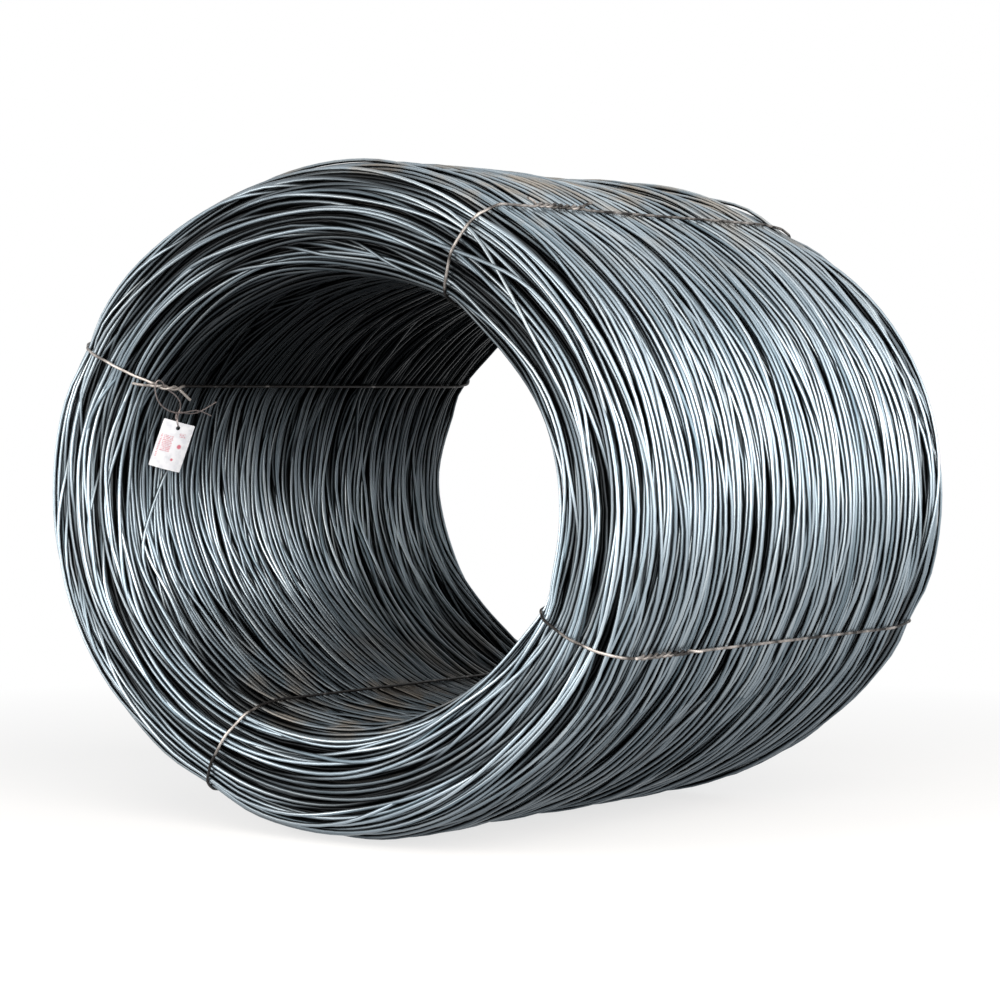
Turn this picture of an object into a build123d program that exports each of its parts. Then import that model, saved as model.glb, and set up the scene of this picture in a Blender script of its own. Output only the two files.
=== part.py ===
from build123d import *
import os
from math import asin, atan2, cos, degrees, hypot, pi, radians, sin, sqrt

# A coil of wire rod that lies on its side, its bore level, held by four tie wires, with a card tag.
# Millimetres and degrees. +Y runs along the bore from the front end to the rear end, +X is to the
# right as seen from the front, +Z is up, and the origin is on the floor under the coil's middle.

# The coil
WOUND_DIAMETER = 1250.0        # outside diameter as wound, before the coil sags
SAG = 95.5                     # how far the top sinks, and how far the width grows, as it lies
FLANK_TIGHTENING = 77.0        # how much smaller the flanks' radius is than half the height
WALL = 200.0                   # thickness of the wound wall
COIL_LENGTH = 980.0            # end to end, along the bore
END_FLAT = 35.0                # flat stretch between the two shoulders of an end
SHOULDER_DIFFERENCE = 15.0     # how much rounder the shoulder at the bore is than the outer one
TURNS_ON_END = 9               # bands of turns that show across each end
TURN_RELIEF = 6.0              # depth of the groove between two bands

# The ties
TIE_WIRE = 6.0                 # wire diameter
KNOT_LAY = 60.0                # length of one whole turn of the twist
KNOT_HALF_TURNS = 5            # odd, so that each end of the wire leaves the knot on top
KNOT_SETBACK = 30.0            # from the end of the shoulder to the knot
TOP_KNOT_SETBACK = 85.0        # the same at the top tie
STUB_LENGTH = 26.0             # cut end of the wire past the knot
STUB_LIFT = 24.0               # slope of the cut end, away from the coil
TOP_TIE_ANGLES = (63.0, 62.0)  # where each tie crosses the bore's wall and the outside,
LEFT_TIE_ANGLES = (140.3, 147.5)        # both from +X towards +Z
BOTTOM_TIE_ANGLES = (251.5, 247.0)
RIGHT_TIE_ANGLES = (329.3, 332.3)

# The tag
TAG_WIDTH = 60.0
TAG_HEIGHT = 90.0
TAG_THICKNESS = 1.0
TAG_HOLE = 8.0
TAG_HOLE_EDGE = 11.0           # from the hole's middle to the tag's top edge
TAG_DROP = 79.5                # from the tie to the tag's hole, down the side of the bore
TAG_SETBACK = 25.0             # from the end of the shoulder to the tag's middle
TAG_TURN = 30.0                # turn of the tag's face from the bore to the front
TAG_LEAN = 6.0                 # lean of its top edge, past the slope of the turns behind it
TAG_WIRE = 2.2                 # wire diameter
TAG_WIRE_SETBACK = 12.0        # from the end of the shoulder to the thin wire's ring
TAG_TAIL_LENGTH = 45.0         # cut end of the thin wire
TAG_TAIL_RISE = 20.0           # slope of the cut end, away from the coil

CLEARANCE = 0.3                # between pieces that rest on each other
WIRE_SIDES = 6                 # flats round a wire, which is drawn inside its true diameter
TWIST_STEPS = 3                # straight runs in half a turn of a twist

# Worked out from the sizes above
half_width = (WOUND_DIAMETER + SAG) / 2
half_height = (WOUND_DIAMETER - SAG) / 2
half_length = COIL_LENGTH / 2
outer_shoulder = (WALL - END_FLAT - SHOULDER_DIFFERENCE) / 2
inner_shoulder = outer_shoulder + SHOULDER_DIFFERENCE

# The section is an oval of four tangent arcs: two tight flanks and two flat crowns.
flank_radius = half_height - FLANK_TIGHTENING
flank_offset = half_width - flank_radius
crown_radius = (flank_offset**2 + half_height**2 - flank_radius**2) / (2 * FLANK_TIGHTENING)
crown_offset = crown_radius - half_height
joint_angle = degrees(atan2(crown_offset, flank_offset))

# From the coil to the middle of a tie, and from the bore's wall to the tie that carries the tag
tie_lift = CLEARANCE + TIE_WIRE / 2
tie_stand_off = tie_lift + TAG_WIRE + CLEARANCE


def arc_at(angle):
    """Centre (x, z) and outer radius of the arc whose outward normal points at the angle."""
    folded = degrees(asin(abs(sin(radians(angle)))))
    if folded <= joint_angle:
        side = 1 if cos(radians(angle)) > 0 else -1
        return side * flank_offset, half_height, flank_radius
    side = 1 if sin(radians(angle)) > 0 else -1
    return 0.0, half_height - side * crown_offset, crown_radius


def end_point(travel, depth):
    """Point on an end's rounding, the travel along it from the outside, as (inset, run-back)."""
    outer_arc = outer_shoulder * pi / 2
    if travel <= outer_arc:
        turn = travel / outer_shoulder
        reach = outer_shoulder - depth
        return outer_shoulder - reach * cos(turn), outer_shoulder - reach * sin(turn)
    if travel <= outer_arc + END_FLAT:
        return outer_shoulder + travel - outer_arc, depth
    turn = (travel - outer_arc - END_FLAT) / inner_shoulder
    reach = inner_shoulder - depth
    return WALL - inner_shoulder + reach * sin(turn), inner_shoulder - reach * cos(turn)


def end_profile():
    """The end's outline from the outside to the bore: a crest for each turn, grooves between."""
    whole = (outer_shoulder + inner_shoulder) * pi / 2 + END_FLAT
    pitch = whole / TURNS_ON_END
    points = [end_point(0, 0)]
    for turn in range(TURNS_ON_END):
        if turn:
            points.append(end_point(turn * pitch, TURN_RELIEF))
        points.append(end_point((turn + 0.5) * pitch, 0))
    points.append(end_point(whole, 0))
    return points


def coil_sector(start, finish):
    """One arc of the wall, turned about its own centre, between two normals."""
    centre_x, centre_z, radius = arc_at((start + finish) / 2)
    front = [(radius - inset, back - half_length) for inset, back in end_profile()]
    rear = [(x, -y) for x, y in reversed(front)]
    wall = make_face(Polyline(*front, *rear, close=True))
    turned = revolve(wall, axis=Axis.Y, revolution_arc=finish - start)
    return Pos(centre_x, 0, centre_z) * Rot(0, -finish, 0) * turned


def rod_coil():
    """The wound rod as one turned wall with its bore, and its turns on both ends."""
    corners = [-joint_angle, joint_angle, 180 - joint_angle, 180 + joint_angle, 360 - joint_angle]
    sectors = [coil_sector(start, finish) for start, finish in zip(corners, corners[1:])]
    return sectors[0].fuse(*sectors[1:])


def swept_wire(path, wire):
    """A wire along a path, its sides mitred at the path's sharp corners."""
    section = Plane(origin=path @ 0, z_dir=path % 0) * RegularPolygon(wire / 2, WIRE_SIDES)
    return sweep(section, path=path, transition=Transition.RIGHT)


def twisted_strand(axis_x, offset, start, way):
    """Points of one strand of the knot, from the coil's side at the start, wound about the knot.

    The offset is from the knot's middle to the strand's, positive away from the coil.
    """
    steps = KNOT_HALF_TURNS * TWIST_STEPS
    points = []
    for step in range(steps + 1):
        turn = pi * step / TWIST_STEPS
        along = KNOT_LAY * turn / (2 * pi)
        points.append((axis_x - offset * cos(turn), start + way * along, offset * sin(turn)))
    return points


def cut_end(across, start, away, way):
    """Points of a cut end past the knot: straight out of it, then bent away from the coil."""
    straight = STUB_LENGTH / 3
    bent = STUB_LENGTH - straight
    slope = radians(STUB_LIFT)
    bend = (across, start + way * straight, 0)
    return [bend, (across + away * bent * sin(slope), bend[1] + way * bent * cos(slope), 0)]


def tie_plane(angles, bore_lift):
    """Plane of a tie, and the span between its two long runs.

    The origin is on the run in the bore, X points to the run on the outside, Y along the coil.
    """
    centre_x, centre_z, radius = arc_at(angles[0])
    runs = []
    for angle, reach in zip(angles, (radius - WALL - bore_lift, radius + tie_lift)):
        slope = radians(angle)
        runs.append(Vector(centre_x + reach * cos(slope), 0, centre_z + reach * sin(slope)))
    across = runs[1] - runs[0]
    return Plane(origin=runs[0], x_dir=across, z_dir=across.cross(Vector(0, 1, 0))), across.length


def tie_wire(angles, setback=KNOT_SETBACK, inside=False):
    """One wire round the wall, its two ends twisted together outside the coil or in its bore.

    Where the knot is inside, the wire stands off the bore far enough for the tag's thin wire to
    pass behind it.
    """
    seat, span = tie_plane(angles, tie_stand_off if inside else tie_lift)
    end = half_length + tie_lift
    outer_bend, inner_bend = outer_shoulder + tie_lift, inner_shoulder + tie_lift
    if inside:
        near, far, away = 0, span, -1
        near_bend, far_bend = inner_bend, outer_bend
        knot_front = -half_length + inner_shoulder + setback
    else:
        near, far, away = span, 0, 1
        near_bend, far_bend = outer_bend, inner_bend
        knot_front = -half_length + outer_shoulder + setback
    knot_rear = knot_front + KNOT_LAY * KNOT_HALF_TURNS / 2

    offset = away * (TIE_WIRE + CLEARANCE) / 2
    axis_x = near + offset
    top = near + 2 * offset
    front_strand = twisted_strand(axis_x, offset, knot_front, 1) + cut_end(top, knot_rear, away, 1)
    rear_strand = twisted_strand(axis_x, offset, knot_rear, -1) + cut_end(top, knot_front, away, -1)
    corners = [(near, -end, 0), (far, -end, 0), (far, end, 0), (near, end, 0)]
    points = list(reversed(front_strand)) + corners + rear_strand
    sharp = [0] * (len(front_strand) - 1)
    radii = sharp + [near_bend, far_bend, far_bend, near_bend] + sharp
    return seat * swept_wire(FilletPolyline(*points, radius=radii), TIE_WIRE)


def bore_seat(angle, inset, lift):
    """Plane over the bore's wall, the inset from the front end: Z to the axis, Y up the turns."""
    centre_x, centre_z, radius = arc_at(angle)
    slope = radians(angle)
    outward = Vector(cos(slope), 0, sin(slope))
    along = Vector(sin(slope), 0, -cos(slope))
    middle = Vector(centre_x, inset - half_length, centre_z) + outward * (radius - WALL - lift)
    return Plane(origin=middle, x_dir=along.cross(-outward), z_dir=-outward)


def tag_plane():
    """The tag's own plane: origin at its middle, Y to its top edge, Z to its face.

    One long edge lies by the bore's wall, which is hollow behind it, and the other stands off.
    """
    bore_radius = flank_radius - WALL
    half_diagonal = hypot(TAG_WIDTH, TAG_HEIGHT) / 2
    hollow = bore_radius - sqrt(bore_radius**2 - half_diagonal**2)
    lift = CLEARANCE + hollow + TAG_WIDTH / 2 * sin(radians(TAG_TURN)) + TAG_THICKNESS / 2
    below_tie = TAG_DROP + TAG_HEIGHT / 2 - TAG_HOLE_EDGE
    angle = LEFT_TIE_ANGLES[0] + degrees(below_tie / bore_radius)
    seat = bore_seat(angle, inner_shoulder + TAG_SETBACK, lift)
    return Plane(seat.location * Rot(0, -TAG_TURN, 0) * Rot(0, 0, -TAG_LEAN))


def tag():
    """A card with a hole near its top edge."""
    card = Rectangle(TAG_WIDTH, TAG_HEIGHT)
    card -= Pos(0, TAG_HEIGHT / 2 - TAG_HOLE_EDGE) * Circle(TAG_HOLE / 2)
    return tag_plane() * extrude(card, TAG_THICKNESS / 2, both=True)


def tag_wire():
    """Thin wire round the left tie and through the tag's hole, with a cut end at its start."""
    tie = bore_seat(LEFT_TIE_ANGLES[0], inner_shoulder + TAG_WIRE_SETBACK, tie_stand_off)
    bend = TIE_WIRE / 2 + CLEARANCE + TAG_WIRE / 2
    slack = TAG_HOLE / 2 - TAG_WIRE / 2 - 2 * CLEARANCE
    crossing = tag_plane().from_local_coords(Vector(0, TAG_HEIGHT / 2 - TAG_HOLE_EDGE + slack, 0))
    way = crossing - tie.origin
    length = way.length - bend
    ring = Wire(
        Line((0, bend), (length, bend))
        + ThreePointArc((length, bend), (length + bend, 0), (length, -bend))
        + Line((length, -bend), (0, -bend))
        + ThreePointArc((0, -bend), (-bend, 0), (0, bend))
    )
    rise = radians(TAG_TAIL_RISE)
    middle = (length / 2, bend, 0)
    tail = Line(middle, (length / 2, bend + TAG_TAIL_LENGTH * sin(rise), -TAG_TAIL_LENGTH * cos(rise)))
    loop = swept_wire(ring, TAG_WIRE).fuse(swept_wire(tail, TAG_WIRE))
    return Plane(origin=tie.origin, x_dir=way, z_dir=way.cross(tie.z_dir)) * loop


def export(name, shape):
    """Write one piece under its own name, as a single solid."""
    solids = shape.solids()
    if len(solids) != 1:
        raise ValueError(f"{name} came out as {len(solids)} solids")
    export_step(solids[0], f"parts/{name}.step")
    print(f"{name}: {solids[0].volume / 1e3:.1f} cm3")


os.makedirs("parts", exist_ok=True)
export("rod_coil", rod_coil())
export("tie_wire_top", tie_wire(TOP_TIE_ANGLES, TOP_KNOT_SETBACK))
export("tie_wire_left", tie_wire(LEFT_TIE_ANGLES, inside=True))
export("tie_wire_bottom", tie_wire(BOTTOM_TIE_ANGLES))
export("tie_wire_right", tie_wire(RIGHT_TIE_ANGLES))
export("tag", tag())
export("tag_wire", tag_wire())
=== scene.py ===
"""Coil of wire rod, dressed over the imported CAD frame.

The wall of the coil is laid turn by turn: each turn is a copy of one modelled ring of rod, settled
on the turns below it, so the gaps and crossings between turns are real shapes and not a pattern.
"""

import logging
import math
from dataclasses import dataclass, field
from enum import Enum

import bpy
import numpy as np
from mathutils import Matrix, Vector


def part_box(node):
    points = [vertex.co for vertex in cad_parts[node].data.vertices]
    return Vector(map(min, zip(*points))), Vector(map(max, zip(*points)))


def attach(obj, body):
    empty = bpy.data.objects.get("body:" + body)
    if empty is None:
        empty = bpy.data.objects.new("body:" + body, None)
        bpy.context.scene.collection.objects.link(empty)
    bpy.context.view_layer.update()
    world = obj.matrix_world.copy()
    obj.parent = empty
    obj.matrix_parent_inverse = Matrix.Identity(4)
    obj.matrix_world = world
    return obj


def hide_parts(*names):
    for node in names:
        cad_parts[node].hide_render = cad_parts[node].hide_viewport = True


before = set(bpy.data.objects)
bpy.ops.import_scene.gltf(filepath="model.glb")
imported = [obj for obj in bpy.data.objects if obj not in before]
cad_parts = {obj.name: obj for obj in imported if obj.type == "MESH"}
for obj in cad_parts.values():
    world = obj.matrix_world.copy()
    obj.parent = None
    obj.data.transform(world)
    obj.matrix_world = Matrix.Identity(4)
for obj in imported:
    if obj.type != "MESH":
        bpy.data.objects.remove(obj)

LOG = logging.getLogger("coil")
MM = 0.001
SEED = 4127
METRES_A_RADIAN = 0.6  # about how far one goes round the wall in a radian
WHITE = (1, 1, 1, 1)


class Part(Enum):
    """The parts of the wall that the turns are grouped by."""

    OUTSIDE_REAR = "outside_rear"
    OUTSIDE_FRONT = "outside_front"
    FRONT_END = "front_end"
    BORE_FRONT = "bore_front"
    BORE_REAR = "bore_rear"
    REAR_END = "rear_end"


def srgb(code: str) -> tuple[float, float, float, float]:
    """Turns an sRGB hex colour to the linear one that a shader takes.

    Args:
        code: Six hex digits.

    Returns:
        Linear red, green, blue and an alpha of 1.
    """
    parts = [int(code[i:i + 2], 16) / 255 for i in (0, 2, 4)]
    linear = [c / 12.92 if c <= 0.04045 else ((c + 0.055) / 1.055) ** 2.4 for c in parts]
    return (*linear, 1.0)


def add_node(tree: bpy.types.NodeTree, kind: str, inputs: dict | None = None, **settings) -> bpy.types.Node:
    """Adds one node with its settings and links.

    Args:
        tree: The node tree that gets it.
        kind: The node's type name, without the leading ShaderNode.
        inputs: Socket name or number to a value, or to an output socket to link.
        settings: Properties of the node.

    Returns:
        The new node.
    """
    made = tree.nodes.new("ShaderNode" + kind)
    for name, value in settings.items():
        setattr(made, name, value)
    for socket, value in (inputs or {}).items():
        if isinstance(value, bpy.types.NodeSocket):
            tree.links.new(value, made.inputs[socket])
        else:
            made.inputs[socket].default_value = value
    return made


def new_material(name: str) -> tuple[bpy.types.Material, bpy.types.NodeTree]:
    """Starts an empty node material.

    Args:
        name: The real material's name.

    Returns:
        The material and its node tree.
    """
    material = bpy.data.materials.new(name)
    material.use_nodes = True
    material.node_tree.nodes.clear()
    return material, material.node_tree


def wrapped(distance: np.ndarray, period: float) -> np.ndarray:
    """Brings distances round a closed loop to within half of it."""
    return (distance + period / 2) % period - period / 2


def smoothed(values: np.ndarray) -> np.ndarray:
    """Averages each value with its two neighbours along the last axis, which is closed."""
    return (np.roll(values, 1, axis=-1) + 2 * values + np.roll(values, -1, axis=-1)) / 4


def select_only(piece: bpy.types.Object) -> None:
    """Selects one object alone and makes it the active one.

    Args:
        piece: The object.
    """
    bpy.ops.object.select_all(action="DESELECT")
    bpy.context.view_layer.objects.active = piece
    piece.select_set(True)


def quad_mesh(name: str, points: np.ndarray, faces: np.ndarray) -> bpy.types.Mesh:
    """Makes a smooth mesh of four-sided faces.

    Args:
        name: The mesh's name.
        points: Rows of three coordinates.
        faces: Rows of four point numbers.

    Returns:
        The mesh.
    """
    mesh = bpy.data.meshes.new(name)
    mesh.vertices.add(len(points))
    mesh.vertices.foreach_set("co", points.astype(np.float32).ravel())
    mesh.loops.add(faces.size)
    mesh.loops.foreach_set("vertex_index", faces.astype(np.int32).ravel())
    mesh.polygons.add(len(faces))
    mesh.polygons.foreach_set("loop_start", np.arange(0, faces.size, 4, dtype=np.int32))
    mesh.update(calc_edges=True)
    mesh.polygons.foreach_set("use_smooth", np.ones(len(faces), dtype=bool))
    return mesh


def write_attributes(mesh: bpy.types.Mesh, **values: np.ndarray) -> None:
    """Writes numbers to a mesh's points, for its material to read.

    Args:
        mesh: The mesh.
        values: The numbers of each attribute, by its name.
    """
    for name, numbers in values.items():
        made = mesh.attributes.new(name, "FLOAT", "POINT")
        made.data.foreach_set("value", numbers.astype(np.float32).ravel())


@dataclass(frozen=True)
class MillScale:
    """Hot-rolled low-carbon steel rod under mill scale.

    The blue-grey oxide skin is smooth and half metallic. Its colour holds painted light: the crest of
    each turn is bright, partly as metal polished by wear and partly as a painted highlight, and painted
    shade turns it near black on the flanks, in the gaps, deep in the wall, on the underside of the coil
    and up in the bore, partly as scale that nothing wears. Dust and first rust lie on what faces up.
    """

    scale: str = "a6b6c2"
    scale_dark: str = "6c7f8b"
    scale_pale: str = "d4e1e9"
    # Near black: what painted shade on the flanks, in the gaps and on the underside mixes towards.
    unrubbed: str = "0a0d10"
    dust: str = "b5aa9c"
    patch_mm: float = 90.0
    streak_mm: float = 330.0
    streaks_across: float = 40.0
    grain_mm: float = 7.0  # real scale grain is under 1 mm and wouldn't show, so it is drawn coarser
    grain_depth_mm: float = 0.4
    bump: float = 0.15
    metallic: float = 0.85
    rough: float = 0.48
    smooth: float = 0.33

    def make(self) -> bpy.types.Material:
        """Builds the material.

        Returns:
            The material. It reads the turns' own UV map, in metres along the rod, and the attributes
            "crest", "deep", "up" and "reached" that RodCoil writes. The first, second and fourth set the
            painted highlight and the painted shade; "up" sets where dust lies.
        """
        material, tree = new_material("hot_rolled_steel_mill_scale")
        place = add_node(tree, "TexCoord").outputs["Object"]
        along = add_node(tree, "UVMap", uv_map="rod").outputs["UV"]
        stretch = (1000 / self.streak_mm, self.streaks_across, 1.0)
        streak = add_node(tree, "Mapping", {"Vector": along, "Scale": stretch}).outputs[0]
        tone, patch, grain = (
            add_node(tree, "TexNoise", {"Vector": vector, "Scale": scale, "Detail": detail}).outputs[0]
            for vector, scale, detail in ((streak, 1.0, 3.0), (place, 1000 / self.patch_mm, 4.0),
                                          (place, 1000 / self.grain_mm, 2.0)))
        crest, deep, up, reached = (add_node(tree, "Attribute", attribute_name=name).outputs["Fac"]
                                    for name in ("crest", "deep", "up", "reached"))

        # How far each of these has come: a value, from where to where it grows, and its share at both ends.
        # The crest ramp is partly a painted highlight; the depth ramp is painted shade in the gaps, and the last ramp
        # makes painted shade darker on the flanks.
        paler, palest, patches, rubbed, lying, painted_gap_shade, painted_shade_contrast = (
            add_node(tree, "MapRange", {"Value": value, "From Min": low, "From Max": high, "To Min": first,
                                        "To Max": last}).outputs[0]
            for value, low, high, first, last in (
                (tone, 0.3, 0.5, 0.0, 1.0), (tone, 0.52, 0.72, 0.0, 1.0), (patch, 0.46, 0.62, 0.0, 1.0),
                (crest, -0.5, 0.7, 0.0, 1.0), (up, 0.72, 0.97, 0.0, 0.85), (deep, 0.3, 0.7, 1.0, 0.03),
                (reached, 0.0, 1.0, 2.6, 1.0)))

        # Scale in long streaks from dark to pale, then dust and first rust in patches on what faces up.
        dusty = add_node(tree, "Math", {0: lying, 1: patches}, operation="MULTIPLY").outputs[0]
        body = srgb(self.scale_dark)
        for share, paint in ((paler, self.scale), (palest, self.scale_pale), (dusty, self.dust)):
            body = add_node(tree, "Mix", {0: share, 6: body, 7: srgb(paint)}, data_type="RGBA").outputs[2]

        # Crests are bright, partly from wear and partly as a painted highlight; painted shade darkens
        # them deep in the wall, on the flanks, on the underside and in the bore.
        for factor, operation in ((painted_gap_shade, "MULTIPLY"), (painted_shade_contrast, "POWER"), (reached, "MULTIPLY")):
            rubbed = add_node(tree, "Math", {0: rubbed, 1: factor}, operation=operation).outputs[0]
        colour = add_node(tree, "Mix", {0: rubbed, 6: srgb(self.unrubbed), 7: body}, data_type="RGBA")

        rough = add_node(tree, "MapRange", {"Value": tone, "From Min": 0.3, "From Max": 0.7,
                                            "To Min": self.rough, "To Max": self.smooth}).outputs[0]
        bump = add_node(tree, "Bump", {"Height": grain, "Strength": self.bump,
                                       "Distance": self.grain_depth_mm * MM}).outputs[0]
        shader = add_node(tree, "BsdfPrincipled", {"Base Color": colour.outputs[2], "Metallic": self.metallic,
                                                   "Roughness": rough, "Normal": bump})
        add_node(tree, "OutputMaterial", {"Surface": shader.outputs[0]})
        return material


@dataclass(frozen=True)
class DullSteel:
    """Soft steel under a dull skin, such as black-annealed wire, or mill scale painted near black as shade.

    It is duller than the rod, and clean metal shows through in spots and where the wire was bent. On
    the ties the same lighter colour is also painted light, where the wire faces the lamps, and their
    dark stretches are painted shade.
    """

    name: str
    body: str
    # The lighter colour, of clean metal, which painted light on the ties also mixes towards.
    worn_and_painted_light: str
    spot_mm: float = 25.0
    metallic: float = 0.6
    rough: float = 0.55
    smooth: float = 0.38

    def make(self) -> bpy.types.Material:
        """Builds the material.

        Returns:
            The material. It reads the attribute "rubbed", which is 0 on a piece that has none. On the
            ties it holds wear and painted light together.
        """
        material, tree = new_material(self.name)
        place = add_node(tree, "TexCoord").outputs["Object"]
        wear = add_node(tree, "TexNoise", {"Vector": place, "Scale": 1000 / self.spot_mm, "Detail": 4.0}).outputs[0]
        rubbed = add_node(tree, "Attribute", attribute_name="rubbed").outputs["Fac"]
        # Wear spots, plus the attribute's wear and painted light, mix towards the lighter colour.
        bare_and_painted_light = add_node(tree, "Math", {0: rubbed, 1: 0.5, 2: wear}, operation="MULTIPLY_ADD").outputs[0]
        bare_and_painted_light = add_node(tree, "MapRange", {"Value": bare_and_painted_light, "From Min": 0.62, "From Max": 1.0}).outputs[0]
        colour = add_node(tree, "Mix", {0: bare_and_painted_light, 6: srgb(self.body), 7: srgb(self.worn_and_painted_light)}, data_type="RGBA")
        rough = add_node(tree, "MapRange", {"Value": wear, "From Min": 0.35, "From Max": 0.7,
                                            "To Min": self.rough, "To Max": self.smooth}).outputs[0]
        shader = add_node(tree, "BsdfPrincipled", {"Base Color": colour.outputs[2], "Metallic": self.metallic,
                                                   "Roughness": rough})
        add_node(tree, "OutputMaterial", {"Surface": shader.outputs[0]})
        return material


@dataclass(frozen=True)
class Oval:
    """The sagged oval that every turn follows: two tight flanks that run into two flat crowns."""

    half_width: float
    half_height: float
    flank_radius: float = 500.25 * MM

    @property
    def flank_offset(self) -> float:
        """How far each flank's centre is from the middle."""
        return self.half_width - self.flank_radius

    @property
    def crown_offset(self) -> float:
        """How far each crown's centre is from the middle."""
        rise = self.half_height - self.flank_radius
        return (self.flank_offset ** 2 - rise ** 2) / (2 * rise)

    @property
    def joint_angle(self) -> float:
        """The normal's angle where a flank runs into a crown."""
        return math.atan2(self.crown_offset, self.flank_offset)

    def arc(self, angle: np.ndarray) -> tuple[np.ndarray, np.ndarray, np.ndarray]:
        """Finds the arc that has a normal at each angle.

        Args:
            angle: Angles of the outward normal, from +X towards +Z.

        Returns:
            The arcs' centres across and up, and their radii on the outside.
        """
        angle = np.asarray(angle, float)
        folded = np.abs(wrapped(angle, math.pi))
        flank = folded <= self.joint_angle + 1e-9
        across = np.where(flank, np.sign(np.cos(angle)) * self.flank_offset, 0.0)
        up = self.half_height - np.where(flank, 0.0, np.sign(np.sin(angle)) * self.crown_offset)
        crown_radius = self.half_height + self.crown_offset
        return across, up, np.where(flank, self.flank_radius, crown_radius)

    def arc_at(self, angle: float) -> tuple[float, float, float]:
        """Finds the same for one angle, as plain numbers."""
        return tuple(float(value) for value in self.arc(np.array(angle)))

    def spin(self, flank_steps: int, crown_steps: int, merge: float) -> None:
        """Spins the active object's section round the four arcs into a closed shape.

        Args:
            flank_steps: Steps along each flank.
            crown_steps: Steps along each crown.
            merge: How near two points have to be to become one.
        """
        bpy.ops.object.mode_set(mode="EDIT")
        bpy.ops.mesh.select_all(action="SELECT")
        flank, crown = 2 * self.joint_angle, math.pi - 2 * self.joint_angle
        for quarter, (steps, sweep) in enumerate([(flank_steps, flank), (crown_steps, crown)] * 2):
            across, up, _ = self.arc_at(quarter * math.pi / 2)
            bpy.ops.mesh.spin(steps=steps, angle=sweep, center=(across, 0, up), axis=(0, 1, 0))
        bpy.ops.mesh.select_all(action="SELECT")
        bpy.ops.mesh.remove_doubles(threshold=merge)
        bpy.ops.mesh.normals_make_consistent(inside=False)
        bpy.ops.object.mode_set(mode="OBJECT")


@dataclass(frozen=True)
class Wall:
    """The wall's section: a long loop with rounded shoulders, walked from the outside over the front end.

    The walk follows the middle of the laid depth, so turns keep their spacing round the shoulders.
    """

    half_length: float
    thickness: float = 200 * MM
    outer_shoulder: float = 75 * MM
    inner_shoulder: float = 90 * MM
    lay_depth: float = 18 * MM

    def knots(self) -> np.ndarray:
        """Lists where the walk changes.

        Returns:
            Rows of distance walked, normal angle, and the rounding centre's depth, place along Y and radius.
        """
        outer, inner = self.outer_shoulder - self.lay_depth, self.inner_shoulder - self.lay_depth
        depth_out, depth_in = self.outer_shoulder, self.thickness - self.inner_shoulder
        y_out, y_in = self.half_length - self.outer_shoulder, self.half_length - self.inner_shoulder
        quarter = math.pi / 2
        steps = [0, 2 * y_out, quarter * outer, depth_in - depth_out, quarter * inner,
                 2 * y_in, quarter * inner, depth_in - depth_out, quarter * outer]
        angles = [0, 0, 1, 1, 2, 2, 3, 3, 4]
        places = [(depth_out, y_out, outer), (depth_out, -y_out, outer), (depth_out, -y_out, outer),
                  (depth_in, -y_in, inner), (depth_in, -y_in, inner), (depth_in, y_in, inner),
                  (depth_in, y_in, inner), (depth_out, y_out, outer), (depth_out, y_out, outer)]
        return np.array([(walked, a * quarter, *p) for walked, a, p in zip(np.cumsum(steps), angles, places)])

    @property
    def girth(self) -> float:
        """The length of the whole walk."""
        return float(self.knots()[-1, 0])

    def place(self, walk: np.ndarray, height: np.ndarray) -> tuple[np.ndarray, np.ndarray, np.ndarray]:
        """Finds points of the section.

        Args:
            walk: Distances walked.
            height: Heights above the middle of the laid depth.

        Returns:
            Depth below the outside, place along Y, and the angle of the section's normal.
        """
        table = self.knots()
        walk = np.asarray(walk) % table[-1, 0]
        angle, depth, along, radius = (np.interp(walk, table[:, 0], table[:, i]) for i in range(1, 5))
        reach = radius + height
        return depth - reach * np.cos(angle), along - reach * np.sin(angle), angle

    def walk_at(self, part: Part) -> tuple[float, float]:
        """Gives the stretch of the walk that a part of the wall covers.

        Args:
            part: The part.

        Returns:
            Where it starts and ends.
        """
        at = self.knots()[:, 0]
        return {Part.OUTSIDE_REAR: (0.0, at[1] / 2), Part.OUTSIDE_FRONT: (at[1] / 2, at[1]),
                Part.FRONT_END: (at[1], at[4]), Part.BORE_FRONT: (at[4], (at[4] + at[5]) / 2),
                Part.BORE_REAR: ((at[4] + at[5]) / 2, at[5]), Part.REAR_END: (at[5], at[8])}[part]


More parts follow.
